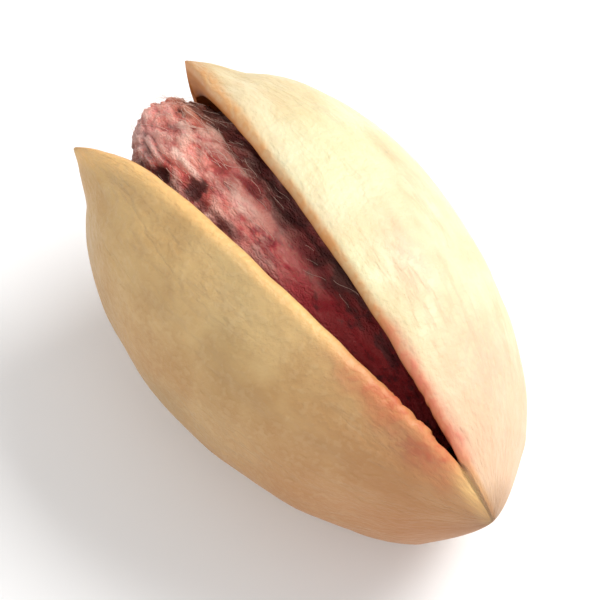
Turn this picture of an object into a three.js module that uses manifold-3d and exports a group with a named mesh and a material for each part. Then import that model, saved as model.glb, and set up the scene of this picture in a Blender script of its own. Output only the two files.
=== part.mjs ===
// A roasted pistachio in its split shell, lying on a table with the slit up.
// Millimetres, +Z up. The beaks point to -X, the stem end to +X, the slit leans a little to -Y.
// Two solids: the shell, which grew as one piece and split along its seam, and the loose kernel.
import * as THREE from 'three';
import { mergeVertices } from 'three/addons/utils/BufferGeometryUtils.js';
import Module from 'manifold-3d';

const wasm = await Module();
wasm.setup();

// Shell body, before the beaks and the stem scar are drawn out
const BODY_LENGTH = 18.6;
const VALVE_DEPTH = 5.5;
const VENTRAL_HEIGHT = 6.0;
const DORSAL_HEIGHT = 6.3;
const APEX_RISE = 1.5;
const STEM_RISE = 0.3;
const WALL = 0.9;
const END_WALL = 0.9;

// How full the shell stays towards its two ends: 1 is an ellipse, less is blunter
const DEPTH_FULLNESS = { stem: 0.97, apex: 1.06 };
const VENTRAL_FULLNESS = { stem: 0.86, apex: 0.86 };
const DORSAL_FULLNESS = { stem: 0.92, apex: 0.8 };
const HOLLOW_FULLNESS = { stem: 0.95, apex: 0.8 };
const RISE_POWER = 2.6;

// The split: both valves have swung open about a line from the slit's end to the back seam
const OPENING = 0.101;
const HINGE_FROM_STEM = 3.0;
const HINGE_LEAN = 0.74;
const OPENING_BLEND = 0.6;
const SEAM_OVERLAP = 0.12;
const SEAM_START = -1.2;
const SEAM_END = 0.4;
const LIP_FLARE = { near: 0.5, far: 0.1 };
const HOLLOW_FLARE = { near: 0.25, far: 0 };
const FLARE_LENGTH = 3.6;

// Rounded rim, raised seam, drawn-out beaks and stem scar
const RIM_ROUND = 0.12;
const KEEL = 0.13;
const KEEL_WIDTH = 0.24;
const KEEL_FROM_STEM = 3.5;
const BEAK = { reach: 1.3, radius: 2.2, sharpness: 1.5, out: 0.15, up: 0.45 };
const BEAK_ALONG_LIP = 0.6;
const SCAR = { reach: 0.35, radius: 1.8, sharpness: 1.1 };

// Kernel, between the stem end and the open beaks
const KERNEL_START = 1.9;
const KERNEL_END = 19.2;
const KERNEL_DEPTH = 4.5;
const KERNEL_TOP = 4.5;
const KERNEL_BOTTOM = 4.85;
const KERNEL_CENTRE = 0.1;
const KERNEL_TIP_RISE = 2.7;
const KERNEL_FULLNESS = { stem: 0.95, apex: 1.05 };
const KERNEL_NOSE_DEPTH = 1.35;
const KERNEL_NOSE_TAPER = 3.6;
const KERNEL_NOSE_BLUNTNESS = 4.5;

// How it lies, and the small flat spot that it lies on
const ROLL = THREE.MathUtils.degToRad(9.5);
const PITCH = THREE.MathUtils.degToRad(4.5);
const FOOT_DEPTH = 0.38;

// Mesh fineness
const RINGS = 36;
const OUTSIDE_STEPS = 24;
const HOLLOW_STEPS = 18;
const RIM_STEPS = 3;
const KERNEL_RINGS = 28;
const KERNEL_SIDES = 26;

const HALF = BODY_LENGTH / 2;

function mix(a, b, t) {
  return a + (b - a) * t;
}

// Rises smoothly from 0 to 1 between two values
function ease(value, from, to) {
  const t = THREE.MathUtils.clamp((value - from) / (to - from), 0, 1);
  return t * t * (3 - 2 * t);
}

// Zero below nothing, the value itself above, with a soft corner between
function softPositive(value, corner) {
  return 0.5 * (value + Math.hypot(value, corner));
}

// A bump of height 1 at its centre that falls to 0 at its radius
function bump(distance, { radius, sharpness }) {
  return Math.pow(Math.max(0, 1 - distance / radius), sharpness);
}

// u runs from 0 at the stem end to 1 at the apex: how round the section still is there
function taper(u, fullness) {
  return Math.pow(Math.max(0, Math.sin(Math.PI * u)), mix(fullness.stem, fullness.apex, u));
}

// Half the width of the split at a point of the seam plane
function halfGap(x, z, flare) {
  const fromStem = HALF - x;
  const fromHinge = fromStem - (HINGE_FROM_STEM - HINGE_LEAN * z);
  const opened = OPENING * softPositive(fromHinge, OPENING_BLEND);
  const nearApex = Math.max(0, 1 - (BODY_LENGTH - fromStem) / FLARE_LENGTH);
  const flared = flare * nearApex * nearApex;
  const closed = SEAM_OVERLAP * (1 - ease(fromHinge, SEAM_START, SEAM_END));
  return opened + flared - closed;
}

// The near valve's lip turns outwards more at the beak than the far one's
function flareOf(flare, side) {
  return side < 0 ? flare.near : flare.far;
}

// The middle of the section at u, which rises towards both ends of the seam
function spineHeight(u) {
  return APEX_RISE * Math.pow(u, RISE_POWER) + STEM_RISE * Math.pow(1 - u, RISE_POWER);
}

// A point of a valve's outside. angle runs from the slit (0) round to the back seam (PI)
function outsidePoint(u, angle, side) {
  const up = Math.cos(angle);
  const height = up > 0
    ? VENTRAL_HEIGHT * taper(u, VENTRAL_FULLNESS)
    : DORSAL_HEIGHT * taper(u, DORSAL_FULLNESS);
  const keelFade = Math.sqrt(Math.max(0, Math.sin(Math.PI * u)));
  const front = Math.exp(-Math.pow(angle / KEEL_WIDTH, 2));
  const back = Math.exp(-Math.pow((Math.PI - angle) / KEEL_WIDTH, 2));
  let x = HALF * Math.cos(Math.PI * u);
  const keel = KEEL * keelFade * ease(HALF - x, 0, KEEL_FROM_STEM);
  let y = VALVE_DEPTH * taper(u, DEPTH_FULLNESS) * Math.sin(angle);
  let z = spineHeight(u) + height * up + keel * (front - back);

  const aboveBeak = z - APEX_RISE;
  const alongLip = aboveBeak > 0 ? BEAK_ALONG_LIP * aboveBeak : aboveBeak;
  const toBeak = bump(Math.hypot(x + HALF, y, alongLip), BEAK);
  const toScar = bump(Math.hypot(x - HALF, y, z - STEM_RISE), SCAR);
  x += SCAR.reach * toScar - BEAK.reach * toBeak;
  y += BEAK.out * toBeak;
  z += BEAK.up * toBeak;
  return new THREE.Vector3(x, side * (halfGap(x, z, flareOf(LIP_FLARE, side)) + y), z);
}

// The matching point of the hollow, one wall further in
function hollowPoint(u, angle, side) {
  const up = Math.cos(angle);
  const height = up > 0
    ? (VENTRAL_HEIGHT - WALL) * taper(u, VENTRAL_FULLNESS)
    : (DORSAL_HEIGHT - WALL) * taper(u, DORSAL_FULLNESS);
  const x = (HALF - END_WALL) * Math.cos(Math.PI * u);
  const y = (VALVE_DEPTH - WALL) * taper(u, HOLLOW_FULLNESS) * Math.sin(angle);
  const z = spineHeight(u) + height * up;
  return new THREE.Vector3(x, side * (halfGap(x, z, flareOf(HOLLOW_FLARE, side)) + y), z);
}

// Points between two edges of the wall, swelling towards the other valve as a rounded rim
function rimPoints(from, to, u, side) {
  const swell = RIM_ROUND * Math.sqrt(Math.max(0, Math.sin(Math.PI * u)));
  return Array.from({ length: RIM_STEPS }, (_, i) => {
    const t = (i + 1) / (RIM_STEPS + 1);
    const point = from.clone().lerp(to, t);
    point.y -= side * swell * Math.sin(Math.PI * t);
    return point;
  });
}

// One closed loop round a valve's wall: outside, back rim, hollow, slit rim
function valveLoop(u, side) {
  const outside = Array.from({ length: OUTSIDE_STEPS + 1 },
    (_, i) => outsidePoint(u, Math.PI * i / OUTSIDE_STEPS, side));
  const hollow = Array.from({ length: HOLLOW_STEPS + 1 },
    (_, i) => hollowPoint(u, Math.PI * (1 - i / HOLLOW_STEPS), side));
  const backRim = rimPoints(outside.at(-1), hollow[0], u, side);
  const slitRim = rimPoints(hollow.at(-1), outside[0], u, side);
  return [...outside, ...backRim, ...hollow, ...slitRim];
}

// Rings are closer together near both ends, where the shell curves most
function ringPosition(index, count) {
  return 0.5 * (1 - Math.cos(Math.PI * index / count));
}

// Joins loops of equal length into a skin, and drops the triangles that an end pulls to nothing
function skin(loops, inward) {
  const size = loops[0].length;
  const geometry = new THREE.BufferGeometry();
  const index = [];
  for (let ring = 0; ring + 1 < loops.length; ring += 1) {
    for (let step = 0; step < size; step += 1) {
      const next = (step + 1) % size;
      const a = ring * size + step;
      const b = ring * size + next;
      const c = (ring + 1) * size + next;
      const d = (ring + 1) * size + step;
      index.push(...(inward ? [a, c, b, a, d, c] : [a, b, c, a, c, d]));
    }
  }
  geometry.setAttribute('position', new THREE.Float32BufferAttribute(
    loops.flat().flatMap((point) => point.toArray()), 3));
  geometry.setIndex(index);
  const merged = mergeVertices(geometry, 1e-3);
  const kept = [];
  for (let i = 0; i < merged.index.count; i += 3) {
    const [p, q, r] = [0, 1, 2].map((k) => merged.index.getX(i + k));
    if (p !== q && q !== r && r !== p) {
      kept.push(p, q, r);
    }
  }
  merged.setIndex(kept);
  return merged;
}

function valveGeometry(side) {
  const loops = Array.from({ length: RINGS + 1 },
    (_, i) => valveLoop(ringPosition(i, RINGS), side));
  return skin(loops, side < 0);
}

// Half the kernel's thickness: it narrows to a blunt nose that passes between the beaks
function kernelDepth(u) {
  if (u < 0.5) {
    return KERNEL_DEPTH * taper(u, KERNEL_FULLNESS);
  }
  const toApex = -Math.cos(Math.PI * u);
  const narrowing = Math.pow(Math.max(0, Math.sin(Math.PI * u)), KERNEL_NOSE_TAPER);
  const nose = Math.sqrt(Math.max(0, 1 - Math.pow(toApex, KERNEL_NOSE_BLUNTNESS)));
  return (KERNEL_DEPTH - KERNEL_NOSE_DEPTH) * narrowing + KERNEL_NOSE_DEPTH * nose;
}

function kernelLoop(u) {
  const x = HALF - mix(KERNEL_START, KERNEL_END, (1 - Math.cos(Math.PI * u)) / 2);
  const depth = kernelDepth(u);
  const tall = taper(u, KERNEL_FULLNESS);
  const centre = KERNEL_CENTRE + KERNEL_TIP_RISE * Math.pow(u, 3);
  return Array.from({ length: KERNEL_SIDES }, (_, i) => {
    const angle = 2 * Math.PI * i / KERNEL_SIDES;
    const up = Math.cos(angle);
    const height = up > 0 ? KERNEL_TOP : KERNEL_BOTTOM;
    return new THREE.Vector3(x, depth * Math.sin(angle), centre + height * tall * up);
  });
}

function kernelGeometry() {
  const loops = Array.from({ length: KERNEL_RINGS + 1 },
    (_, i) => kernelLoop(ringPosition(i, KERNEL_RINGS)));
  return skin(loops, false);
}

function toSolid(geometry) {
  return new wasm.Manifold(new wasm.Mesh({
    numProp: 3,
    vertProperties: Float32Array.from(geometry.attributes.position.array),
    triVerts: Uint32Array.from(geometry.index.array),
  }));
}

function toGeometry(solid) {
  const mesh = solid.getMesh();
  const geometry = new THREE.BufferGeometry();
  geometry.setAttribute('position', new THREE.BufferAttribute(mesh.vertProperties, 3));
  geometry.setIndex(new THREE.BufferAttribute(mesh.triVerts, 1));
  return geometry;
}

function plainBox(lowest, highest) {
  const size = new THREE.Vector3().subVectors(highest, lowest);
  const geometry = new THREE.BoxGeometry(size.x, size.y, size.z);
  geometry.deleteAttribute('normal');
  geometry.deleteAttribute('uv');
  geometry.translate(...new THREE.Vector3().addVectors(lowest, highest).divideScalar(2));
  return mergeVertices(geometry);
}

// The two valves in one, turned as the nut lies, with the foot ground flat
function shellGeometry(lie) {
  const valves = [-1, 1].map((side) => toSolid(valveGeometry(side).applyMatrix4(lie)));
  const joined = valves[0].add(valves[1]);
  const box = new THREE.Box3().setFromArray(joined.getMesh().vertProperties);
  const below = plainBox(
    new THREE.Vector3(-BODY_LENGTH, -BODY_LENGTH, box.min.z - 1),
    new THREE.Vector3(BODY_LENGTH, BODY_LENGTH, box.min.z + FOOT_DEPTH),
  );
  return toGeometry(joined.subtract(toSolid(below)));
}

function material(colour, roughness) {
  return new THREE.MeshStandardMaterial({ color: colour, roughness, metalness: 0 });
}

function named(name, geometry, finish) {
  const mesh = new THREE.Mesh(geometry, finish);
  mesh.name = name;
  return mesh;
}

const lie = new THREE.Matrix4().makeRotationX(ROLL)
  .multiply(new THREE.Matrix4().makeRotationY(PITCH));
const nut = new THREE.Group();
nut.add(named('shell', shellGeometry(lie), material(0xdcc38f, 0.55)));
nut.add(named('kernel', kernelGeometry().applyMatrix4(lie), material(0x7c3040, 0.6)));

// The origin is in the middle of the box that holds the nut, at the height of the foot
const bounds = new THREE.Box3().setFromObject(nut);
const middle = bounds.getCenter(new THREE.Vector3());
nut.position.set(-middle.x, -middle.y, -bounds.min.z);

export default nut;
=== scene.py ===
# %% [markdown]
# # A roasted pistachio in its split shell
#
# The nut lies on a pale table with its slit up. It has two real pieces. The shell grew as one
# hard cup and split along its seam while the seed swelled, and the kernel lies loose inside it
# in a thin purple skin, to which pale fibres cling. This notebook grows them as fine meshes
# with Geometry Nodes, from the rule of the solid model, and finishes them with node materials.

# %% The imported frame
import math

import bpy
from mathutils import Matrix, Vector


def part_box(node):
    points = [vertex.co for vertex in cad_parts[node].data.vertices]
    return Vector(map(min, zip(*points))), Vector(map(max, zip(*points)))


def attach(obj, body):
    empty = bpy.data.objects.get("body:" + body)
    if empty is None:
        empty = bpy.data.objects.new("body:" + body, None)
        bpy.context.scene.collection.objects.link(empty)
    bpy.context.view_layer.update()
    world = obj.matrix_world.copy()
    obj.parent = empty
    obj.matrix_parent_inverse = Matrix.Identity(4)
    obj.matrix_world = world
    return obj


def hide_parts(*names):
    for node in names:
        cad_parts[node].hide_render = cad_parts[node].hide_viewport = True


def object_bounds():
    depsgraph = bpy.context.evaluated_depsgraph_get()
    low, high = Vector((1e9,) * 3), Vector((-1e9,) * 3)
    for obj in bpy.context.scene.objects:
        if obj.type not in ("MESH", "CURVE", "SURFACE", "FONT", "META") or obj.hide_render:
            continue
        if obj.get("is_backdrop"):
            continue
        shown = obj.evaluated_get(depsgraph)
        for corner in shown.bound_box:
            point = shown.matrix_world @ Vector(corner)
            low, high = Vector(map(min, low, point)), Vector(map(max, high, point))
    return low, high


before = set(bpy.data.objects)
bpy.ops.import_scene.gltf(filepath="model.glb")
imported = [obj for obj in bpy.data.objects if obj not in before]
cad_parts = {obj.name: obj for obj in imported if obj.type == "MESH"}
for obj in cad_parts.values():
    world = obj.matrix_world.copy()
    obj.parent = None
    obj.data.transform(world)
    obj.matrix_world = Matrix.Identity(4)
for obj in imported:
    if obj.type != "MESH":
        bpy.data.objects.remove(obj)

CAD_LOW, CAD_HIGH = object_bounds()
CAD_MIDDLE = (CAD_LOW + CAD_HIGH) / 2
MM = 0.001
print("nodes", sorted(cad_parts), "box in mm", [round(v / MM, 2) for v in CAD_HIGH - CAD_LOW])

# %% [markdown]
# ## Camera, table and light
#
# A nut is small, so the camera stands a third of a metre away with a long lens, which keeps the
# shape calm. It looks down at 62 degrees, from the side where the slit leans. The light could be
# one bare lamp, but a nut is best seen under big soft panels: a key from the far side that
# brightens the far valve, a weak warm fill for the near one, and a white room. The table is one
# large sheet that is marked as stage, so it is no part of the nut.

# %% Camera
CAMERA_AZIMUTH = math.radians(52)
CAMERA_ELEVATION = math.radians(62)
CAMERA_DISTANCE = 350 * MM
VIEW_WIDTH = 21.46 * MM
AIM_FROM_MIDDLE = Vector((-0.48, -0.30, 0.94)) * MM
SENSOR = 36.0
NEAR_CLIP, FAR_CLIP = 0.01, 10.0

to_camera = Vector((
    math.sin(CAMERA_AZIMUTH) * math.cos(CAMERA_ELEVATION),
    -math.cos(CAMERA_AZIMUTH) * math.cos(CAMERA_ELEVATION),
    math.sin(CAMERA_ELEVATION),
))
lens = bpy.data.cameras.new("camera")
lens.sensor_width = SENSOR
lens.lens = SENSOR * CAMERA_DISTANCE / VIEW_WIDTH
lens.clip_start = NEAR_CLIP
lens.clip_end = FAR_CLIP
camera = bpy.data.objects.new("camera", lens)
bpy.context.scene.collection.objects.link(camera)
camera.location = CAD_MIDDLE + AIM_FROM_MIDDLE + to_camera * CAMERA_DISTANCE
camera.rotation_euler = to_camera.to_track_quat("Z", "Y").to_euler()
bpy.context.scene.camera = camera
print("camera focal length", round(lens.lens), "mm")


# %% Soft lights and a white room
def soft_panel(name, direction, distance, size, watts, colour):
    """A square panel of light that faces the nut."""
    light = bpy.data.lights.new(name, "AREA")
    light.size = size
    light.energy = watts
    light.color = colour
    panel = bpy.data.objects.new(name, light)
    bpy.context.scene.collection.objects.link(panel)
    towards = Vector(direction).normalized()
    panel.location = CAD_MIDDLE + towards * distance
    panel.rotation_euler = towards.to_track_quat("Z", "Y").to_euler()


soft_panel("key", (0.1, 0.8, 0.9), 0.5, 0.3, 2.5, (1.0, 0.98, 0.94))
soft_panel("fill", (-0.3, -1.0, 0.7), 0.6, 0.5, 0.9, (1.0, 0.95, 0.87))
soft_panel("stem side", (1.0, -0.2, 0.6), 0.6, 0.35, 0.6, (1.0, 0.98, 0.95))

ROOM_COLOUR = (1.0, 0.99, 0.97, 1)
ROOM_STRENGTH = 0.55
room = bpy.data.worlds.new("white room")
room.use_nodes = True
room.node_tree.nodes["Background"].inputs["Color"].default_value = ROOM_COLOUR
room.node_tree.nodes["Background"].inputs["Strength"].default_value = ROOM_STRENGTH
bpy.context.scene.world = room
bpy.context.scene.view_settings.view_transform = "Standard"


# %% Table
def paint(*parts):
    """A display colour, 0 to 255, as the light value that a shader takes."""
    shares = [part / 255 for part in parts]
    linear = [s / 12.92 if s <= 0.04045 else ((s + 0.055) / 1.055) ** 2.4 for s in shares]
    return (*linear, 1)


TABLE_HALF = 600 * MM
TABLE_COLOUR, TABLE_ROUGHNESS = paint(246, 248, 252), 0.7
table_mesh = bpy.data.meshes.new("table")
corners = [(x * TABLE_HALF, y * TABLE_HALF, 0) for x, y in ((-1, -1), (1, -1), (1, 1), (-1, 1))]
table_mesh.from_pydata(corners, [], [(0, 1, 2, 3)])
table = bpy.data.objects.new("table", table_mesh)
bpy.context.scene.collection.objects.link(table)
table_paint = bpy.data.materials.new("pale table")
table_paint.use_nodes = True
table_shader = table_paint.node_tree.nodes["Principled BSDF"]
table_shader.inputs["Base Color"].default_value = TABLE_COLOUR
table_shader.inputs["Roughness"].default_value = TABLE_ROUGHNESS
table_mesh.materials.append(table_paint)
table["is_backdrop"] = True

# %% [markdown]
# ## Sums as nodes
#
# The rule of a shell is a page of arithmetic, and a tree of Math nodes drawn by hand would be
# hard to read. A small class keeps it short: a Field is a value inside a node tree, and plus,
# minus, times and power on fields make the Math nodes. The same class serves the materials.


# %% Fields
class Field:
    """A value inside a node tree, on which arithmetic makes Math nodes."""

    def __init__(self, tree, socket):
        self.tree = tree
        self.socket = socket

    def __add__(self, other):
        return maths("ADD", self, other)

    def __radd__(self, other):
        return maths("ADD", other, self)

    def __sub__(self, other):
        return maths("SUBTRACT", self, other)

    def __rsub__(self, other):
        return maths("SUBTRACT", other, self)

    def __mul__(self, other):
        return maths("MULTIPLY", self, other)

    def __rmul__(self, other):
        return maths("MULTIPLY", other, self)

    def __truediv__(self, other):
        return maths("DIVIDE", self, other)

    def __pow__(self, other):
        return maths("POWER", self, other)


def feed(value, socket):
    """Puts a number, or another node's value, on a socket."""
    if isinstance(value, Field):
        value.tree.links.new(value.socket, socket)
    else:
        socket.default_value = value


def maths(operation, *values):
    """One Math node."""
    tree = next(value.tree for value in values if isinstance(value, Field))
    node = tree.nodes.new("ShaderNodeMath")
    node.operation = operation
    for socket, value in zip(node.inputs, values):
        feed(value, socket)
    return Field(tree, node.outputs[0])


def sine(value):
    return maths("SINE", value)


def cosine(value):
    return maths("COSINE", value)


def root(value):
    return maths("SQRT", value)


def size_of(value):
    return maths("ABSOLUTE", value)


def at_least(value, lowest):
    return maths("MAXIMUM", value, lowest)


def exceeds(value, limit):
    return maths("GREATER_THAN", value, limit)


def far(*parts):
    """The length of a line with those parts."""
    return root(sum(part * part for part in parts[1:]) + parts[0] * parts[0])


def bell(value, width):
    """1 at zero, and almost nothing past two widths."""
    return maths("EXPONENT", (value / width) ** 2 * -1)


def blend(first, second, share):
    return first + (second - first) * share


def ease(value, start, end, low=0.0, high=1.0):
    """Runs smoothly from low to high while the value runs from start to end."""
    node = value.tree.nodes.new("ShaderNodeMapRange")
    node.interpolation_type = "SMOOTHSTEP"
    for socket, number in zip(node.inputs[:5], (value, start, end, low, high)):
        feed(number, socket)
    return Field(value.tree, node.outputs[0])


def share_of(value, start, end):
    """Runs evenly from 0 to 1 while the value runs from start to end, and stays there."""
    node = value.tree.nodes.new("ShaderNodeMapRange")
    for socket, number in zip(node.inputs[:3], (value, start, end)):
        feed(number, socket)
    return Field(value.tree, node.outputs[0])


def vector(x, y, z):
    tree = next(part.tree for part in (x, y, z) if isinstance(part, Field))
    node = tree.nodes.new("ShaderNodeCombineXYZ")
    for socket, part in zip(node.inputs, (x, y, z)):
        feed(part, socket)
    return Field(tree, node.outputs[0])


def parts_of(place):
    node = place.tree.nodes.new("ShaderNodeSeparateXYZ")
    feed(place, node.inputs[0])
    return [Field(place.tree, socket) for socket in node.outputs]


def cloud(place, seed, detail=2.0, roughness=0.5):
    """Smooth seeded noise, mostly between -1 and 1, at a place measured in its own waves."""
    node = place.tree.nodes.new("ShaderNodeTexNoise")
    node.noise_dimensions = "4D"
    feed(place, node.inputs["Vector"])
    node.inputs["W"].default_value = seed
    node.inputs["Scale"].default_value = 1.0
    node.inputs["Detail"].default_value = detail
    node.inputs["Roughness"].default_value = roughness
    return Field(place.tree, node.outputs[0]) * 4 - 2


# %% Trees
def new_tree(name, sizes):
    """A geometry tree with named sizes, and a field for each of them."""
    tree = bpy.data.node_groups.new(name, "GeometryNodeTree")
    for label, value in sizes.items():
        kind = "NodeSocketVector" if isinstance(value, tuple) else "NodeSocketFloat"
        socket = tree.interface.new_socket(label, in_out="INPUT", socket_type=kind)
        socket.default_value = value
    tree.interface.new_socket("Geometry", in_out="OUTPUT", socket_type="NodeSocketGeometry")
    source = tree.nodes.new("NodeGroupInput")
    return tree, {socket.name: Field(tree, socket) for socket in source.outputs if socket.name}


def step(kind, geometry, settings=None, **inputs):
    """A geometry node after another. Its inputs are named with _ for a space."""
    node = geometry.tree.nodes.new(kind)
    for label, value in (settings or {}).items():
        setattr(node, label, value)
    feed(geometry, node.inputs[0])
    for label, value in inputs.items():
        feed(value, node.inputs[label.replace("_", " ")])
    return Field(geometry.tree, node.outputs[0])


def end_with(geometry, material):
    """The end of a tree: real geometry, smooth, in its material."""
    real = step("GeometryNodeRealizeInstances", geometry)
    smooth = step("GeometryNodeSetShadeSmooth", real)
    finished = step("GeometryNodeSetMaterial", smooth, Material=material)
    sink = geometry.tree.nodes.new("NodeGroupOutput")
    feed(finished, sink.inputs[0])


def grow(name, tree, values=None):
    """A linked object whose mesh is what the tree makes, with no modifier left on it."""
    piece = bpy.data.objects.new(name, bpy.data.meshes.new(name + " start"))
    bpy.context.scene.collection.objects.link(piece)
    modifier = piece.modifiers.new(tree.name, "NODES")
    modifier.node_group = tree
    for item in tree.interface.items_tree:
        if item.in_out == "INPUT" and item.name in (values or {}):
            modifier[item.identifier] = values[item.name]
    graph = bpy.context.evaluated_depsgraph_get()
    made = bpy.data.meshes.new_from_object(piece.evaluated_get(graph))
    piece.modifiers.remove(modifier)
    started = piece.data
    piece.data = made
    bpy.data.meshes.remove(started)
    made.name = name
    print(name, len(made.polygons), "faces")
    return piece


def named(tree, name):
    """A value that was stored for each point."""
    node = tree.nodes.new("GeometryNodeInputNamedAttribute")
    node.data_type = "FLOAT"
    node.inputs["Name"].default_value = name
    return Field(tree, node.outputs[0])


def store(geometry, name, value, domain="POINT"):
    settings = {"data_type": "FLOAT", "domain": domain}
    return step("GeometryNodeStoreNamedAttribute", geometry, settings, Name=name, Value=value)


def move(geometry, **inputs):
    return step("GeometryNodeSetPosition", geometry, **inputs)


def place_in(tree):
    """Where each point is, as three fields."""
    return parts_of(Field(tree, tree.nodes.new("GeometryNodeInputPosition").outputs[0]))


def grid_in(tree, rings, sides):
    """A flat grid of faces, and how far each point is along it and around it, from 0 to 1."""
    grid = tree.nodes.new("GeometryNodeMeshGrid")
    grid.inputs["Vertices X"].default_value = rings + 1
    grid.inputs["Vertices Y"].default_value = sides + 1
    ring, around, _ = parts_of(Field(tree, grid.outputs["UV Map"]))
    return Field(tree, grid.outputs["Mesh"]), ring, around


def along_normal(tree, height):
    """A push of that height straight out of the surface."""
    normal = tree.nodes.new("GeometryNodeInputNormal")
    push = tree.nodes.new("ShaderNodeVectorMath")
    push.operation = "SCALE"
    tree.links.new(normal.outputs[0], push.inputs[0])
    feed(height, push.inputs["Scale"])
    return Field(tree, push.outputs[0])


# %% [markdown]
# ## The rule of the shell
#
# A pistachio shell is two boat-shaped valves that meet in one seam plane. Clay could be pushed
# here, but a rule is closer to how it grew: along the nut each cross-section is half an ellipse
# whose size follows a sine, the middle of the sections rises towards the beaks, and the two
# valves have swung apart about a line near the stem. The driving sizes are those of the solid
# model, in millimetres, so the fine mesh stays close to it. This mesh's own are the scoop that
# thins the wall behind the beaks, the waver and chips of the lip, and the outer edges of the
# seam, which only just meet.

# %% Driving sizes, in millimetres
BODY_LENGTH = 18.6
HALF = BODY_LENGTH / 2
SHELL_SIZES = {
    "Valve depth": 5.5,
    "Ventral height": 6.0,
    "Dorsal height": 6.3,
    "Wall": 0.9,
    "Opening": 0.101,
    "Rim round": 0.12,
    "Lip wave": 0.05,
    "Lip chips": 0.34,
}
APEX_RISE, STEM_RISE, RISE_POWER = 1.5, 0.3, 2.6
DEPTH_FULLNESS = (0.97, 1.06)
VENTRAL_FULLNESS = (0.86, 0.86)
DORSAL_FULLNESS = (0.92, 0.80)
HOLLOW_FULLNESS = (0.95, 0.80)
HINGE_FROM_STEM, HINGE_LEAN, OPENING_BLEND = 3.0, 0.74, 0.6
SEAM_START, SEAM_END = -1.2, 0.4
EDGE_OVERLAP, WALL_OVERLAP = 0.012, 0.12
NEAR_FLARE, FAR_FLARE, FLARE_LENGTH = (0.5, 0.25), (0.1, 0.0), 3.6
KEEL, KEEL_WIDTH, KEEL_FROM_STEM = 0.13, 0.24, 3.5
BEAK_REACH, BEAK_RADIUS, BEAK_SHARPNESS = 1.3, 2.2, 1.5
BEAK_OUT, BEAK_UP, BEAK_ALONG_LIP = 0.15, 0.45, 0.6
SCOOP_REACH, SCOOP_RADIUS = 0.95, 2.6
SCAR_REACH, SCAR_RADIUS, SCAR_SHARPNESS = 0.35, 1.8, 1.1
ROLL, PITCH, FOOT_DEPTH = math.radians(9.5), math.radians(4.5), 0.38


# %% The rule in fields
def roundness(u):
    """0 at both ends of the nut and 1 in the middle."""
    return at_least(sine(u * math.pi), 0.0)


def taper(u, fullness):
    """How large the section is at u, which runs from 0 at the stem end to 1 at the apex."""
    stem, apex = fullness
    return roundness(u) ** (u * (apex - stem) + stem)


def spine_height(u):
    """The middle of the section, which rises towards both ends."""
    return u ** RISE_POWER * APEX_RISE + (1 - u) ** RISE_POWER * STEM_RISE


def half_gap(x, z, flare, opening, overlap):
    """Half the width of the split at a point of the seam plane, less where it never opened."""
    from_stem = HALF - x
    from_hinge = from_stem - (HINGE_FROM_STEM - z * HINGE_LEAN)
    opened = opening * 0.5 * (from_hinge + root(from_hinge ** 2 + OPENING_BLEND ** 2))
    near_apex = at_least(1 - (BODY_LENGTH - from_stem) / FLARE_LENGTH, 0.0)
    return opened + flare * near_apex ** 2 - ease(from_hinge, SEAM_START, SEAM_END, overlap, 0.0)


def bump(distance, radius, sharpness):
    """1 at its centre and 0 at its radius."""
    return at_least(1 - distance / radius, 0.0) ** sharpness


def half_ellipse(u, angle, depth, top, bottom, depth_fullness):
    """A point of one half section: out from the seam plane, and up from the stem line."""
    up = cosine(angle)
    upper = exceeds(up, 0.0)
    height = blend(bottom * taper(u, DORSAL_FULLNESS), top * taper(u, VENTRAL_FULLNESS), upper)
    return depth * taper(u, depth_fullness) * sine(angle), spine_height(u) + height * up


def outside(u, angle, size, flare):
    """A point of a valve's outside. angle runs from the slit, 0, round to the back, pi."""
    x = cosine(u * math.pi) * HALF
    y, z = half_ellipse(u, angle, size["Valve depth"], size["Ventral height"],
                        size["Dorsal height"], DEPTH_FULLNESS)
    keel = KEEL * root(roundness(u)) * ease(HALF - x, 0, KEEL_FROM_STEM)
    z = z + keel * (bell(angle, KEEL_WIDTH) - bell(math.pi - angle, KEEL_WIDTH))
    above = z - APEX_RISE
    along_lip = above * blend(1.0, BEAK_ALONG_LIP, exceeds(above, 0.0))
    beak = bump(far(x + HALF, y, along_lip), BEAK_RADIUS, BEAK_SHARPNESS)
    scar = bump(far(x - HALF, y, z - STEM_RISE), SCAR_RADIUS, SCAR_SHARPNESS)
    x = x + scar * SCAR_REACH - beak * BEAK_REACH
    z = z + beak * BEAK_UP
    return x, half_gap(x, z, flare, size["Opening"], EDGE_OVERLAP) + y + beak * BEAK_OUT, z


def hollow(u, angle, size, flare):
    """The matching point of the hollow, one wall further in."""
    wall = size["Wall"]
    x = cosine(u * math.pi) * (HALF - wall)
    y, z = half_ellipse(u, angle, size["Valve depth"] - wall, size["Ventral height"] - wall,
                        size["Dorsal height"] - wall, HOLLOW_FULLNESS)
    scooped = bump(far(x + HALF - wall, y, z - APEX_RISE), SCOOP_RADIUS, BEAK_SHARPNESS)
    x = x - scooped * SCOOP_REACH
    return x, half_gap(x, z, flare, size["Opening"], WALL_OVERLAP) + y, z


# %% [markdown]
# ## One valve
#
# A flat grid of points is bent into a valve. Across the grid runs one loop round the wall: over
# the outside, across the back rim, through the hollow and across the slit rim. The loop's points
# crowd at the rims, where the real shell turns sharply. Blurring the points near the slit many
# times rounds the lip as handling does, except at the stem, where the two lips meet. The lip also
# wanders by a twentieth of a millimetre, and it is chipped near the stem, most on the near side,
# where a real shell tears as it splits. Where a point lies on the shell is stored with it,
# because relief and colour follow it later.

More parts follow.
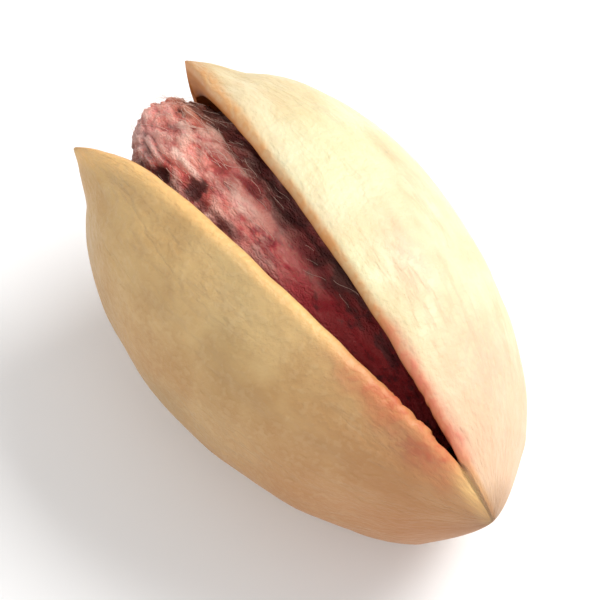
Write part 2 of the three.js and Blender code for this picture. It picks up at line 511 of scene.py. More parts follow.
# %% The valve tree
RINGS = 250
OUTSIDE_STEPS, RIM_STEPS, HOLLOW_STEPS = 92, 12, 34
LOOP_STEPS = OUTSIDE_STEPS + HOLLOW_STEPS + 2 * RIM_STEPS
RIM_CROWDING = 0.75
END_CROWDING = 0.85
LIP_BLURS = 55
LIP_ROUND_ZONE, LIP_ROUND_START = (0.35, 1.0), (0.8, 1.8)
SAME_POINT = 0.00001
WALL_MIDDLE = 0.45
VALUES = ("lip", "from stem", "round", "side")
CHIPS_FROM_STEM = (1.2, 2.2, 3.6, 5.8)
FAR_CHIPS, CHIP_LEVEL, CHIP_DROP = 0.35, 0.25, 0.7
LIP_WEAR_ZONE = (0.3, 1.1)
SLIT_ANGLE = 0.8
BEAK_TIP_FROM_STEM, BEAK_TIP_SOFTNESS = (19.0, 19.8), 0.8


def crowded(share):
    """An angle from 0 to pi whose steps are smaller at both ends."""
    return math.pi * (share - sine(share * 2 * math.pi) * (RIM_CROWDING / (2 * math.pi)))


def worn_lip(from_stem, side, size):
    """How far the lip's edge stands back at that point."""
    wave = cloud(vector(from_stem * 0.55, side * 9.0, 0.0), 3.0, 1.0) * size["Lip wave"]
    start, full, fading, end = CHIPS_FROM_STEM
    torn = ease(from_stem, start, full) * ease(from_stem, fading, end, 1.0, 0.0)
    nearer = blend(FAR_CHIPS, 1.0, exceeds(0.0 - side, 0.0))
    bites = size_of(cloud(vector(from_stem * 1.5, side * 5.0, 0.0), 8.0, 4.0, 0.6)) - CHIP_LEVEL
    return wave * ease(from_stem, 0.3, 2.0) + bites * torn * nearer * size["Lip chips"]


def softened(geometry, weight, times):
    """Evens the points out where the weight is 1, as sanding does."""
    tree = geometry.tree
    place = tree.nodes.new("GeometryNodeInputPosition")
    node = tree.nodes.new("GeometryNodeBlurAttribute")
    node.data_type = "FLOAT_VECTOR"
    node.inputs["Iterations"].default_value = times
    tree.links.new(place.outputs[0], node.inputs["Value"])
    feed(weight, node.inputs["Weight"])
    return move(geometry, Position=Field(tree, node.outputs[0]))


valve_tree, size = new_tree("valve", SHELL_SIZES | {"Side": 1.0, "Flare": 0.1, "Hollow flare": 0.0})
flat, ring, around = grid_in(valve_tree, RINGS, LOOP_STEPS)
u = blend(ring, 0.5 * (1 - cosine(ring * math.pi)), END_CROWDING)
count = around * LOOP_STEPS
over = share_of(count, 0, OUTSIDE_STEPS)
back = share_of(count, OUTSIDE_STEPS, OUTSIDE_STEPS + RIM_STEPS)
inside = share_of(count, OUTSIDE_STEPS + RIM_STEPS, LOOP_STEPS - RIM_STEPS)
front = share_of(count, LOOP_STEPS - RIM_STEPS, LOOP_STEPS)
angle = crowded(over) - crowded(inside)
depth = back - front

out_x, out_y, out_z = outside(u, angle, size, size["Flare"])
in_x, in_y, in_z = hollow(u, angle, size, size["Hollow flare"])
swell = size["Rim round"] * sine(depth * math.pi)
lip = angle * (1 - depth * 2) * size["Valve depth"] * taper(u, DEPTH_FULLNESS)
lip = lip - depth * size["Wall"]
x = blend(out_x, in_x, depth)
y = blend(out_y, in_y, depth) - swell
z = blend(out_z, in_z, depth)

shaped = move(flat, Position=vector(x, y * size["Side"], z))
for name, value in zip(VALUES, (lip, HALF - x, angle, size["Side"])):
    shaped = store(shaped, name, value)
closed = step("GeometryNodeMergeByDistance", shaped, Distance=SAME_POINT)
facing = step("GeometryNodeFlipFaces", closed, Selection=exceeds(size["Side"], 0.0))

lip, from_stem, angle, side = [named(valve_tree, name) for name in VALUES]
at_slit = exceeds(SLIT_ANGLE, angle)
near_lip = ease(size_of(lip + WALL_MIDDLE), *LIP_ROUND_ZONE, 1.0, 0.0) * at_slit
near_lip = near_lip * ease(from_stem, *LIP_ROUND_START)
beak_tip = ease(from_stem, *BEAK_TIP_FROM_STEM, 0.0, BEAK_TIP_SOFTNESS)
rounded = softened(facing, at_least(near_lip, beak_tip), LIP_BLURS)
on_lip = ease(size_of(lip + WALL_MIDDLE), *LIP_WEAR_ZONE, 1.0, 0.0)
worn = worn_lip(from_stem, side, size) * at_slit * on_lip
rounded = move(rounded, Offset=vector(0.0, worn * side, size_of(worn) * -CHIP_DROP))
valve_end = valve_tree.nodes.new("NodeGroupOutput")
feed(rounded, valve_end.inputs[0])
print("valve tree with", len(valve_tree.nodes), "nodes")

# %% [markdown]
# ## Grown together, with its relief
#
# Near the stem and along the back the seam never split. There the outer edges of the two valves
# just meet and the wall behind them overlaps, and a boolean union makes one closed shell of them.
# Blurs and a thin filling then soften the line where they met, and past the slit's end the near
# lip stands up as a low torn ridge. A sculpting brush could roughen the shell, but seeded noise
# along the normals gives the same result in each run. The noise is stretched along the nut and
# is read by the angle round it, so that the faint grooves run together at both ends, as the
# veins do that fed the shell. Last, the nut is laid on its side as it rests, and what is below
# the table is pressed flat for the small spot that it lies on.

# %% The shell tree
NO_FOOT = -100.0
RELIEF_SIZES = {"Relief": 1.0, "Foot level": NO_FOOT, "Place": (0.0, 0.0, 0.0)}
GROOVE_DEPTH, SWELL_DEPTH, DENT_DEPTH, GRAIN_DEPTH = 0.05, 0.11, 0.06, 0.006
SEAM_LIP, SEAM_FILL, TORN_LUMPS = 0.12, 0.12, 0.1
STEM_BLURS, SIDE_BLURS = 120, 12
STEM_TIP, SEAM_FADE, SEAM_SOFT_WIDTH = (0.2, 1.4), (1.3, 2.2), 0.7


def lay_down(geometry, size):
    """Turns the nut as it lies, moves it to its place, and presses its foot flat."""
    tree = geometry.tree
    pitched = step("GeometryNodeTransform", geometry, Rotation=(0.0, PITCH, 0.0))
    rolled = step("GeometryNodeTransform", pitched, Rotation=(ROLL, 0.0, 0.0))
    placed = step("GeometryNodeTransform", rolled, Translation=size["Place"])
    x, y, z = place_in(tree)
    pressed = move(placed, Position=vector(x, y, at_least(z, size["Foot level"])))
    return step("GeometryNodeTransform", pressed, Scale=(MM, MM, MM))


def shell_relief(tree):
    """How far the outside of the shell stands out, in millimetres."""
    lip, from_stem, angle, side = [named(tree, name) for name in VALUES]
    veins = vector(from_stem * 0.16, angle * 3.2, side * 7.0)
    fine_veins = vector(from_stem * 0.3, angle * 9.0, side * 7.0)
    place = vector(from_stem * 0.28, angle * 1.5, side * 4.0)
    spots = vector(from_stem * 0.9, angle * 4.5, side * 4.0)
    grooves = cloud(veins, 1.5, 2.0) + cloud(fine_veins, 6.1, 2.0) * 0.35
    dents = at_least(cloud(spots, 2.7, 1.0) - 0.35, 0.0)
    body = grooves * GROOVE_DEPTH + cloud(place, 4.4, 1.0) * SWELL_DEPTH - dents * DENT_DEPTH
    grain = cloud(vector(from_stem * 2.2, angle * 11.0, side * 4.0), 5.2, 3.0) * GRAIN_DEPTH
    seam_start = ease(from_stem, 0.9, 2.0)
    nearer = ease(side, -0.8, 0.8, 1.0, 0.0)
    proud = bell(lip - 0.3, 0.28) * seam_start * ease(from_stem, 2.6, 4.0, 1.0, 0.0) * SEAM_LIP
    torn = cloud(vector(from_stem * 1.25, lip * 0.9, 2.0), 6.6, 2.0) * bell(lip - 0.25, 0.55)
    lumps = torn * seam_start * ease(from_stem, 5.0, 8.0, 1.0, 0.0) * TORN_LUMPS
    on_outside = ease(lip, 0.1, 1.3) * ease(from_stem, 0.3, 3.0, 0.0, 1.0)
    filled = bell(lip, 0.25) * ease(from_stem, 0.3, 1.2) * ease(from_stem, 1.4, 2.2, 1.0, 0.0)
    return (body + grain) * on_outside + (proud + lumps) * nearer + filled * SEAM_FILL


shell_paint = bpy.data.materials.new("roasted shell")
shell_paint.use_nodes = True
shell_tree, size = new_tree("split shell", SHELL_SIZES | RELIEF_SIZES)
join = shell_tree.nodes.new("GeometryNodeMeshBoolean")
join.operation = "UNION"
join.solver = "MANIFOLD"
for side, flares in ((-1.0, NEAR_FLARE), (1.0, FAR_FLARE)):
    valve = shell_tree.nodes.new("GeometryNodeGroup")
    valve.node_tree = valve_tree
    for label in SHELL_SIZES:
        feed(size[label], valve.inputs[label])
    for label, value in zip(("Side", "Flare", "Hollow flare"), (side, *flares)):
        valve.inputs[label].default_value = value
    half = Field(shell_tree, valve.outputs[0])
    for name in VALUES:
        half = store(half, name, named(shell_tree, name), "CORNER")
    shell_tree.links.new(half.socket, join.inputs["Mesh"])
joined = Field(shell_tree, join.outputs[0])
for name in VALUES:
    joined = store(joined, name, named(shell_tree, name))
from_stem = named(shell_tree, "from stem")
stem_tip = ease(from_stem, *STEM_TIP, 1.0, 0.0)
seam = bell(named(shell_tree, "lip"), SEAM_SOFT_WIDTH) * ease(from_stem, *SEAM_FADE, 1.0, 0.0)
joined = softened(joined, at_least(stem_tip, seam), STEM_BLURS)
soft_side = shell_tree.nodes.new("GeometryNodeBlurAttribute")
soft_side.inputs["Iterations"].default_value = SIDE_BLURS
feed(named(shell_tree, "side"), soft_side.inputs["Value"])
joined = store(joined, "side", Field(shell_tree, soft_side.outputs[0]))
raised = move(joined, Offset=along_normal(shell_tree, shell_relief(shell_tree) * size["Relief"]))
end_with(lay_down(raised, size), shell_paint)

# %% [markdown]
# The tree first runs without relief and unplaced. The box of that plain shell tells how far the
# nut has to move, so that it stands exactly where the frame has it.

# %% The shell
def box_of(piece):
    """Lowest and highest corner of a mesh."""
    points = [vertex.co for vertex in piece.data.vertices]
    return [Vector([pick(p[i] for p in points) for i in range(3)]) for pick in (min, max)]


shell = grow("plain shell", shell_tree, {"Relief": 0.0})
low, high = box_of(shell)
frame_low, frame_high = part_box("shell")
shift = ((frame_low + frame_high) / 2 - (low + high) / 2) / MM
place = (shift.x, shift.y, -low.z / MM - FOOT_DEPTH)
bpy.data.objects.remove(shell)
print("the nut moves by", [round(part, 3) for part in place], "mm")
shell = grow("split_shell", shell_tree, {"Place": place, "Foot level": 0.0})

# %% [markdown]
# ## The kernel
#
# The kernel is one long seed with a blunt nose that shows between the beaks. Its papery skin
# shrank as it dried, so it is folded into lengthwise wrinkles with finer crinkles over them,
# and four dark pits lie on its near side behind the nose. The nose is squarer than that of the
# solid kernel, and stands out from it by up to half a millimetre. The relief only cuts inwards,
# so that the skin stays clear of the shell.

# %% The kernel tree
KERNEL_SIZES = {
    "Start": 1.9,
    "End": 19.2,
    "Depth": 4.5,
    "Top": 4.5,
    "Bottom": 4.85,
    "Wrinkle": 0.26,
    "Crinkle": 0.06,
    "Low nose": 1.35,
    "Near nose": 2.05,
    "Far nose": 1.8,
    "Nose reach": 0.05,
    "Place": (0.0, 0.0, 0.0),
    "Foot level": NO_FOOT,
}
KERNEL_CENTRE, KERNEL_TIP_RISE = 0.1, 2.7
KERNEL_FULLNESS = (0.95, 1.05)
NOSE_TAPER, NOSE_BLUNTNESS = 3.6, 8.0
NOSE_SQUARENESS = 0.74
PITS = (  # from the stem, across, half as wide as, deep
    (16.4, -1.5, 0.36, 0.34),
    (15.0, -1.1, 0.4, 0.28),
    (14.3, -1.3, 0.25, 0.2),
    (13.3, -1.4, 0.3, 0.2),
)
KERNEL_RINGS, KERNEL_SIDES = 230, 200
KERNEL_CROWDING = 0.7
KERNEL_SAME_POINT = SAME_POINT * 40
FURROW_WIDTH = 0.28
FURROW_SHARE, HOLLOW_SHARE, RAGGED_SHARE = 0.55, 0.6, 0.12


def kernel_depth(u, depth, nose):
    """Half the kernel's thickness, which narrows to a blunt nose."""
    towards_apex = at_least(0.0 - cosine(u * math.pi), 0.0)
    blunt = root(at_least(1 - towards_apex ** NOSE_BLUNTNESS, 0.0)) * nose
    narrowed = (depth - nose) * roundness(u) ** NOSE_TAPER + blunt
    return blend(depth * taper(u, KERNEL_FULLNESS), narrowed, exceeds(u, 0.5))


def squared(wave, power):
    """Bends a sine so that the loop it draws is rounder or squarer."""
    return maths("SIGN", wave) * size_of(wave) ** power


def kernel_relief(x, y, z, size):
    """How far the skin has sunk at that point, in millimetres, never below nothing."""
    lumps = cloud(vector(x * 0.45, y * 0.95, z * 0.95), 2.2, 2.0)
    folds = cloud(vector(x * 0.38, y * 1.6, z * 1.6), 7.7, 3.0)
    crinkles = cloud(vector(x * 1.3, y * 3.6, z * 3.6), 4.1, 2.0)
    furrows = bell(folds, FURROW_WIDTH) + bell(lumps, FURROW_WIDTH) * 0.5
    hollows = at_least(lumps * 0.5 + 0.5, 0.0)
    deep = furrows * FURROW_SHARE + hollows * HOLLOW_SHARE
    ragged = folds * RAGGED_SHARE
    pits = sum(bell(far(HALF - x - along + ragged, y - over - ragged), width) * deep_in
               for along, over, width, deep_in in PITS)
    return deep * size["Wrinkle"] + at_least(crinkles + 0.8, 0.0) * size["Crinkle"] + pits


skin_paint = bpy.data.materials.new("papery kernel skin")
skin_paint.use_nodes = True
kernel_tree, size = new_tree("kernel", KERNEL_SIZES)
flat, ring, around = grid_in(kernel_tree, KERNEL_RINGS, KERNEL_SIDES)
u = blend(ring, 0.5 * (1 - cosine(ring * math.pi)), KERNEL_CROWDING)
angle = around * (-2 * math.pi)
tall = taper(u, KERNEL_FULLNESS)
height = blend(size["Bottom"], size["Top"], exceeds(cosine(angle), 0.0))
reach = size["End"] + size["Nose reach"] * u ** 4
from_stem = blend(size["Start"], reach, 0.5 * (1 - cosine(u * math.pi)))
nose = blend(size["Near nose"], size["Far nose"], ease(sine(angle), -0.5, 0.5))
nose = blend(size["Low nose"], nose, ease(cosine(angle), -0.5, 0.3))
power = blend(1.0, ease(u, 0.5, 0.9, 1.0, NOSE_SQUARENESS), ease(cosine(angle), -0.1, 0.3))
x = HALF - from_stem
y = kernel_depth(u, size["Depth"], nose) * squared(sine(angle), power)
z = u ** 3 * KERNEL_TIP_RISE + KERNEL_CENTRE + height * tall * squared(cosine(angle), power)
shaped = move(flat, Position=vector(x, y, z))
for name, value in (("from stem", from_stem), ("across", y), ("up", z)):
    shaped = store(shaped, name, value)
closed = step("GeometryNodeMergeByDistance", shaped, Distance=KERNEL_SAME_POINT)
sunk = kernel_relief(*place_in(kernel_tree), size)
closed = store(closed, "sunk", sunk)
wrinkled = move(closed, Offset=along_normal(kernel_tree, named(kernel_tree, "sunk") * -1.0))
end_with(lay_down(wrinkled, size), skin_paint)
kernel = grow("loose_kernel", kernel_tree, {"Place": place})

# %% [markdown]
# ## Finishes
#
# Nothing on a nut is one colour. Shell and skin share two effects, which are therefore shader
# groups: clouds, which mixes three sizes of noise into one soft mottling, and veins, which draws
# thin uneven lines along the nut. Both read places that were stored on the mesh, so that the
# marks follow the way the nut grew, and each material gives them its own scale.


# %% Shader groups
def new_group(name, inputs, outputs):
    """A shader group with named inputs, and fields for them."""
    group = bpy.data.node_groups.new(name, "ShaderNodeTree")
    for label, value in inputs.items():
        kind = "NodeSocketVector" if isinstance(value, tuple) else "NodeSocketFloat"
        group.interface.new_socket(label, in_out="INPUT", socket_type=kind).default_value = value
    for label in outputs:
        group.interface.new_socket(label, in_out="OUTPUT", socket_type="NodeSocketFloat")
    source = group.nodes.new("NodeGroupInput")
    sink = group.nodes.new("NodeGroupOutput")
    return {s.name: Field(group, s) for s in source.outputs if s.name}, sink


def scaled(place, amount):
    node = place.tree.nodes.new("ShaderNodeVectorMath")
    node.operation = "SCALE"
    feed(place, node.inputs[0])
    feed(amount, node.inputs["Scale"])
    return Field(place.tree, node.outputs[0])


given, sink = new_group("clouds", {"Place": (0.0, 0.0, 0.0), "Scale": 1.0}, ("Soft", "Fine"))
coarse = cloud(scaled(given["Place"], given["Scale"]), 1.3, 2.0)
middle = cloud(scaled(given["Place"], given["Scale"] * 3.1), 5.9, 3.0)
small = cloud(scaled(given["Place"], given["Scale"] * 11.0), 9.2, 3.0)
feed(ease(coarse + middle * 0.5, -0.9, 0.9), sink.inputs["Soft"])
feed(ease(middle * 0.5 + small, -0.9, 0.9), sink.inputs["Fine"])

given, sink = new_group("veins", {"Place": (0.0, 0.0, 0.0), "Width": 0.12}, ("Lines",))
wavering = cloud(given["Place"], 3.7, 3.0, 0.6)
broken = ease(cloud(scaled(given["Place"], 0.6), 8.8, 2.0), -0.4, 0.5)
feed(bell(wavering, given["Width"]) * broken, sink.inputs["Lines"])


def group_in(paint, name, **inputs):
    """That group in a material, and fields for what it gives."""
    node = paint.node_tree.nodes.new("ShaderNodeGroup")
    node.node_tree = bpy.data.node_groups[name]
    for label, value in inputs.items():
        feed(value, node.inputs[label])
    return [Field(paint.node_tree, socket) for socket in node.outputs]


def stored(paint, name):
    """A value that the mesh carries."""
    node = paint.node_tree.nodes.new("ShaderNodeAttribute")
    node.attribute_name = name
    return Field(paint.node_tree, node.outputs["Fac"])


def tint(under, over, share):
    """One colour laid over another, by that share."""
    tree = share.tree
    node = tree.nodes.new("ShaderNodeMix")
    node.data_type = "RGBA"
    feed(share, node.inputs["Factor"])
    feed(under, node.inputs[6])
    feed(over, node.inputs[7])
    return Field(tree, node.outputs[2])


def let_light_in(shader, weight, radius, depth):
    """Light that passes under the surface, to that depth in millimetres."""
    shader.inputs["Subsurface Weight"].default_value = weight
    shader.inputs["Subsurface Radius"].default_value = radius
    shader.inputs["Subsurface Scale"].default_value = depth * MM


def bumped(paint, height, depth):
    """A normal that carries relief too fine for the mesh, in millimetres."""
    node = paint.node_tree.nodes.new("ShaderNodeBump")
    node.inputs["Distance"].default_value = depth * MM
    feed(height, node.inputs["Height"])
    return Field(paint.node_tree, node.outputs[0])


# %% [markdown]
# ## The shell's finish
#
# Dry shell is a pale, slightly waxy wood. The far valve is cream and the near one tan, partly its
# own tone and partly painted shade, which also darkens its outer flank away from the light. Faint
# brown veins and faint pale specks lie on it. The lips are orange tan along most of the split,
# darker than the far valve because the fibres end there, and lighter than the near one, partly as
# a painted highlight on its rounded lip; they are coral pink in the third next to the stem, where
# the shell tore last. The wall inside is orange brown, darkened further in by painted shade. A
# little light passes under the surface, which keeps it from looking like plaster.

# %% Shell material
lip, from_stem, angle, side = [stored(shell_paint, name) for name in VALUES]
growth = vector(from_stem * 0.22, angle * 1.1, side * 5.0)
along = vector(from_stem * 0.35, angle * 7.0, side * 5.0)
soft, fine = group_in(shell_paint, "clouds", Place=growth, Scale=1.6)
lines, = group_in(shell_paint, "veins", Place=along, Width=0.16)
patches = ease(cloud(growth, 7.3, 1.0), -0.2, 0.9)
streaks = ease(cloud(vector(from_stem * 0.2, angle * 3.4, side * 5.0), 2.6, 3.0), 0.1, 1.2)
far_side = ease(side, -0.9, 0.9)

# Near valve: tan, partly its own tone and partly painted shade.
near_valve_tone_and_shade = tint(paint(204, 172, 119), paint(182, 145, 93), soft)
# Painted shade: the near valve darkens towards its outer flank, away from the light.
near_valve_tone_and_shade = tint(near_valve_tone_and_shade, paint(170, 120, 74), ease(angle, 0.4, 1.7) * 0.65)
near_valve_tone_and_shade = tint(near_valve_tone_and_shade, paint(168, 108, 66), ease(from_stem, 1.0, 9.5, 1.0, 0.0) * 0.65)
near_valve_tone_and_shade = tint(near_valve_tone_and_shade, paint(166, 146, 104), patches * ease(from_stem, 5.0, 11.0) * 0.4)
far_coat = tint(paint(229, 219, 184), paint(220, 203, 164), soft)
far_coat = tint(far_coat, paint(228, 184, 152), ease(from_stem, 0.5, 6.0, 1.0, 0.0) * 0.75)
far_coat = tint(far_coat, paint(214, 210, 158), patches * ease(from_stem, 3.0, 6.0) * 0.35)
coat = tint(near_valve_tone_and_shade, far_coat, far_side)
coat = tint(coat, paint(152, 116, 78), streaks * ease(from_stem, 1.0, 5.0) * 0.36)
coat = tint(coat, paint(168, 140, 104), lines * ease(from_stem, 0.4, 3.0) * 0.2)
coat = tint(coat, paint(240, 222, 186), ease(fine, 0.55, 1.0) * ease(from_stem, 1.0, 4.0) * 0.07)
towards_apex = ease(from_stem, 13.0, 19.5)
coat = tint(coat, paint(203, 158, 100), towards_apex * (0.3 + soft * 0.3))
blush = bell(from_stem - 3.4, 2.2) * bell(angle - 0.7, 0.5)
blush = blush + bell(from_stem - 7.6, 1.4) * bell(angle - 0.42, 0.14)
coat = tint(coat, paint(222, 164, 148), blush * far_side * (0.15 + fine * 0.3))
smudge = bell(from_stem - 2.5, 0.9) * bell(lip - 0.9, 0.5) * (1 - far_side)
coat = tint(coat, paint(150, 84, 58), smudge * (0.25 + fine * 0.5))

wander = fine * 0.35 + soft * 0.25
width = blend(0.7, 0.35, far_side) + towards_apex * 0.5
band = ease(lip / width, 0.2, 1.0, 1.0, 0.0)
# The lip band is the shell's own orange tan; on the near valve it is lighter, partly a painted
# highlight along the rounded lip.
coat = tint(coat, tint(paint(236, 190, 124), paint(214, 156, 98), far_side), band * (0.5 + wander))
torn = ease(from_stem, 0.4, 1.6) * ease(from_stem, 4.6, 7.6, 1.0, 0.0)
ragged = lip / width + cloud(vector(from_stem * 0.9, lip * 0.8, side), 1.9, 3.0) * 0.5
coral = ease(ragged, 0.2, 2.1, 1.0, 0.0) * torn
coat = tint(coat, tint(paint(188, 92, 62), paint(222, 128, 108), far_side), coral * (0.4 + wander))
unsplit = ease(from_stem, 1.6, 2.8, 0.5, 0.0)
inner = ease(lip - towards_apex * 0.35 + unsplit, -0.6, -0.1, 1.0, 0.0)
# The inner wall is orange brown, with painted shade darkening it further into the hollow.
inner_wall_and_depth_shade = tint(paint(190, 126, 74), paint(150, 84, 38), ease(lip, -0.9, -0.2, 1.0, 0.0))
woody = ease(cloud(vector(from_stem * 0.5, lip * 2.5, side), 4.9, 3.0), -0.2, 1.2)
inner_wall_and_depth_shade = tint(inner_wall_and_depth_shade, paint(120, 64, 30), woody * 0.5)
coat = tint(coat, inner_wall_and_depth_shade, inner * 0.96)
scar = ease(from_stem, -0.2, 0.5, 1.0, 0.0)
coat = tint(coat, paint(166, 116, 74), scar * 0.5)

shader = shell_paint.node_tree.nodes["Principled BSDF"]
feed(coat, shader.inputs["Base Color"])
feed(0.40 + soft * 0.12 + fine * 0.08 + inner * 0.2, shader.inputs["Roughness"])
feed(bumped(shell_paint, (fine + lines * -0.5) * (1 - inner), 0.03), shader.inputs["Normal"])
feed(0.42 - inner * 0.36, shader.inputs["Specular IOR Level"])
let_light_in(shader, 0.12, (1.0, 0.62, 0.35), 0.6)
print("shell material with", len(shell_paint.node_tree.nodes), "nodes")

# %% [markdown]
# ## The kernel's finish
#
# The skin is purple towards the stem and crimson to pink towards the open beaks, partly its own
# colour and partly painted light, as the stem half lies deeper in shade. Its pale film streaks
# the crown, and painted highlights run pink along it and over the ridges; painted shade darkens
# the creases and pits, which the stored depth of the relief tells, and lies along the far lip as
# a painted shadow. At the nose the skin has dried to a lilac grey film, and brown shows at its
# far edge.

# %% Kernel material
from_stem, across, up, sunk = [stored(skin_paint, n) for n in ("from stem", "across", "up", "sunk")]
flesh = vector(from_stem * 0.55, across * 0.9, up * 0.9)
threads = vector(from_stem * 0.9, across * 2.0, up * 2.0)
soft, fine = group_in(skin_paint, "clouds", Place=flesh, Scale=1.5)
lines, = group_in(skin_paint, "veins", Place=threads, Width=0.18)

# The skin lightens from stem to apex, partly its own colour and partly painted light, as the stem
# half lies deeper in shade.
to_apex = ease(from_stem + soft * 3.0, 8.0, 17.0)
skin = tint(paint(178, 42, 48), paint(208, 84, 78), to_apex)
crimson = bell(from_stem - 11.5, 2.6) * bell(across - 0.1, 1.2)
skin = tint(skin, paint(208, 30, 76), crimson * ease(fine, 0.1, 0.7) * 0.85)
skin = tint(skin, paint(104, 32, 40), ease(soft, 0.5, 0.85) * (0.85 - to_apex * 0.5))
# Painted highlight: a bright pink band along the kernel's crown in its apex half.
centre = bell(across + 0.1, 1.0) * ease(from_stem, 8.5, 13.0)
skin = tint(skin, paint(246, 152, 138), centre * ease(soft, 0.2, 0.7, 1.0, 0.0) * 0.85)
skin = tint(skin, paint(196, 120, 84), ease(fine, 0.55, 0.95) * to_apex * 0.4)
# Pale streaks over the middle: partly the skin's pale film, partly a painted highlight.
streaked = ease(cloud(vector(from_stem * 0.35, across * 1.7, up * 1.7), 3.1, 3.0), -0.1, 1.0)
pale = bell(across + 0.25, 0.85) * ease(from_stem, 10.0, 14.0)
skin = tint(skin, paint(255, 220, 206), pale * streaked * 0.9)
# Painted highlight: ridge tops, where the relief has sunk least, are lightened, most towards the
# apex.
ridge_highlight = ease(sunk + fine * 0.05, 0.14, 0.32, 1.0, 0.0)
skin = tint(skin, paint(250, 208, 190), ridge_highlight * (0.05 + to_apex * 0.55))
skin = tint(skin, paint(244, 222, 206), lines * ease(from_stem, 9.0, 15.0) * 0.3)
blotched = ease(cloud(vector(from_stem * 0.7, across * 1.6, up * 1.6), 7.9, 2.0), -0.1, 0.7)
dull = bell(across + 1.4, 0.8) * ease(from_stem, 10.0, 12.5)
skin = tint(skin, paint(92, 44, 42), dull * blotched * 0.7)
skin = tint(skin, paint(108, 40, 46), (1 - pale) * blotched * ease(from_stem, 10.0, 14.0) * 0.5)
film = ease(from_stem + fine * 1.5, 17.0, 18.8) * ease(across, -1.6, 0.4, 1.0, 0.0)
skin = tint(skin, paint(196, 168, 164), film * 0.7)
browned = ease(from_stem, 15.5, 18.0) * ease(across, 0.3, 1.2)
skin = tint(skin, paint(176, 112, 74), browned * (0.45 + soft * 0.4))
# Painted highlight: pink-white flecks along the crown of the middle.
highlight_flecks = ease(cloud(vector(from_stem * 1.1, across * 2.2, up * 2.2), 5.3, 2.0), 0.2, 0.8)
skin = tint(skin, paint(246, 160, 156), highlight_flecks * bell(across, 0.6) * ease(from_stem, 8.0, 9.5) * 0.75)
far_edge = ease(from_stem, 10.0, 16.0, 0.62, 1.35)
shaded = ease(across - far_edge, -0.5, 0.05) * ease(from_stem, 5.0, 9.0)
skin = tint(skin, paint(84, 38, 34), shaded * (0.45 + soft * 0.4))
# Painted shade: creases and pits, where the relief has sunk deepest, are darkened.
crease_shade = ease(sunk, 0.28, 0.42)
skin = tint(skin, paint(70, 26, 24), crease_shade * 0.85)

shader = skin_paint.node_tree.nodes["Principled BSDF"]
feed(skin, shader.inputs["Base Color"])
feed(0.34 + fine * 0.3, shader.inputs["Roughness"])
feed(bumped(skin_paint, fine + lines * 0.5, 0.06), shader.inputs["Normal"])
shader.inputs["Specular IOR Level"].default_value = 0.5
let_light_in(shader, 0.1, (1.0, 0.35, 0.3), 0.5)
print("kernel material with", len(skin_paint.node_tree.nodes), "nodes")

# %% [markdown]
# ## Fibres on the skin
#
# Where the skin dried in the open, pale fibres of the shell's lining still cling to it. Hair
# particles would do, but they would not become a mesh, so one bent fibre is swept from a curve
# and seeded copies of it are strewn over the kernel. They lie flat, run roughly along the nut,
# and stand closest beside the far lip and at the nose.

# %% Fibres
FIBRE_SIZES = {
    "Per square millimetre": 16.0,
    "Smallest": 0.3,
    "Largest": 1.1,
    "Twist": 0.4,
    "Seed": 9.0,
}
FIBRE_LENGTH, FIBRE_RADIUS, FIBRE_LIFT, FIBRE_BEND = 0.95, 0.008, 0.035, 0.09
FIBRE_POINTS, FIBRE_SIDES, FIBRE_WAVES = 8, 4, 4.0
FIBRE_COLOUR, FIBRE_ROUGHNESS = paint(224, 190, 176), 0.6
CREASING = 0.035


def chance(tree, low, high, seed):
    """A random number for each copy."""
    node = tree.nodes.new("FunctionNodeRandomValue")
    feed(low, node.inputs[2])
    feed(high, node.inputs[3])
    feed(seed, node.inputs["Seed"])
    return Field(tree, node.outputs[1])


fibre_paint = bpy.data.materials.new("pale fibre")
fibre_paint.use_nodes = True
fibre_tree, size = new_tree("skin fibres", FIBRE_SIZES)
line = fibre_tree.nodes.new("GeometryNodeCurvePrimitiveLine")
line.inputs["Start"].default_value = (-FIBRE_LENGTH / 2, 0.0, 0.0)
line.inputs["End"].default_value = (FIBRE_LENGTH / 2, 0.0, 0.0)
thread = step("GeometryNodeResampleCurve", Field(fibre_tree, line.outputs[0]), Count=FIBRE_POINTS)
x, y, z = place_in(fibre_tree)
rise = (x / FIBRE_LENGTH + 0.5) ** 2 * FIBRE_LIFT + FIBRE_RADIUS / 2
thread = move(thread, Position=vector(x, sine(x * FIBRE_WAVES) * FIBRE_BEND, rise))
ring = fibre_tree.nodes.new("GeometryNodeCurvePrimitiveCircle")
ring.inputs["Resolution"].default_value = FIBRE_SIDES
ring.inputs["Radius"].default_value = FIBRE_RADIUS
profile = Field(fibre_tree, ring.outputs[0])
fibre = step("GeometryNodeCurveToMesh", thread, Profile_Curve=profile, Fill_Caps=True)

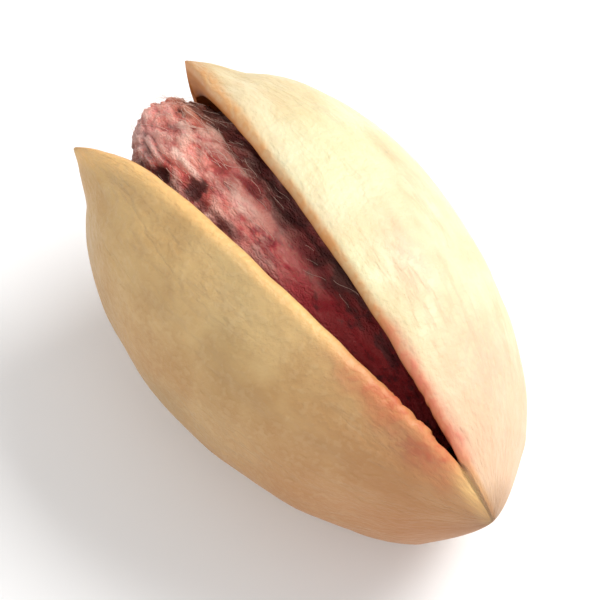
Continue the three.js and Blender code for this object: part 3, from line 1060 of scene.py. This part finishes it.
from_stem, across, up = [named(fibre_tree, name) for name in ("from stem", "across", "up")]
in_slit = ease(size_of(across + 0.1), 1.3, 2.0, 1.0, 0.0) * ease(up, 1.5, 3.0)
beside_lip = ease(from_stem, 12.0, 17.0) * (bell(across - 0.9, 0.5) + 0.22)
share = in_slit * (beside_lip + ease(from_stem, 7.0, 10.0) * 0.05)
source = fibre_tree.nodes.new("GeometryNodeObjectInfo")
source.inputs["Object"].default_value = kernel
strew = fibre_tree.nodes.new("GeometryNodeDistributePointsOnFaces")
fibre_tree.links.new(source.outputs["Geometry"], strew.inputs["Mesh"])
feed(size["Per square millimetre"] * share / MM ** 2, strew.inputs["Density"])
feed(size["Seed"], strew.inputs["Seed"])
lie = fibre_tree.nodes.new("FunctionNodeAlignRotationToVector")
lie.axis = "X"
lie.pivot_axis = "Z"
lie.inputs["Vector"].default_value = (1.0, 0.0, 0.0)
fibre_tree.links.new(strew.outputs["Rotation"], lie.inputs["Rotation"])
turn = fibre_tree.nodes.new("FunctionNodeRotateRotation")
turn.rotation_space = "LOCAL"
fibre_tree.links.new(lie.outputs[0], turn.inputs[0])
twist = chance(fibre_tree, size["Twist"] * -1.0, size["Twist"], size["Seed"] + 1.0)
feed(vector(0.0, 0.0, twist), turn.inputs[1])
spots = Field(fibre_tree, strew.outputs["Points"])
copies = step("GeometryNodeInstanceOnPoints", spots, Instance=fibre)
spread = copies.socket.node
fibre_tree.links.new(turn.outputs[0], spread.inputs["Rotation"])
amount = chance(fibre_tree, size["Smallest"], size["Largest"], size["Seed"] + 2.0) * MM
feed(vector(amount, amount, amount), spread.inputs["Scale"])
real = step("GeometryNodeRealizeInstances", copies)
x, y, z = [part / MM for part in place_in(fibre_tree)]
spot = vector(x, y, z)
crease = vector(cloud(spot, 2.0), cloud(spot, 5.0), cloud(spot, 8.0))
end_with(move(real, Offset=scaled(crease, CREASING * MM)), fibre_paint)
fibres = grow("skin_fibres", fibre_tree)

shader = fibre_paint.node_tree.nodes["Principled BSDF"]
shader.inputs["Base Color"].default_value = FIBRE_COLOUR
shader.inputs["Roughness"].default_value = FIBRE_ROUGHNESS

# %% [markdown]
# ## Hand over
#
# Each piece rides on the nut's one body. Shell and kernel stand in for their solids, and the
# fibres have no solid of their own. The boxes of the solid model and of this one are written
# down, to show that the fine meshes kept the size.

# %% Pieces to the frame
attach(fibres, "root")
for piece, node, slot in ((shell, "shell", "shell"), (kernel, "kernel", "kernel")):
    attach(piece, "root")
    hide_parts(node)
low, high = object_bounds()
print("scene box in mm", [round(v / MM, 2) for v in high - low])
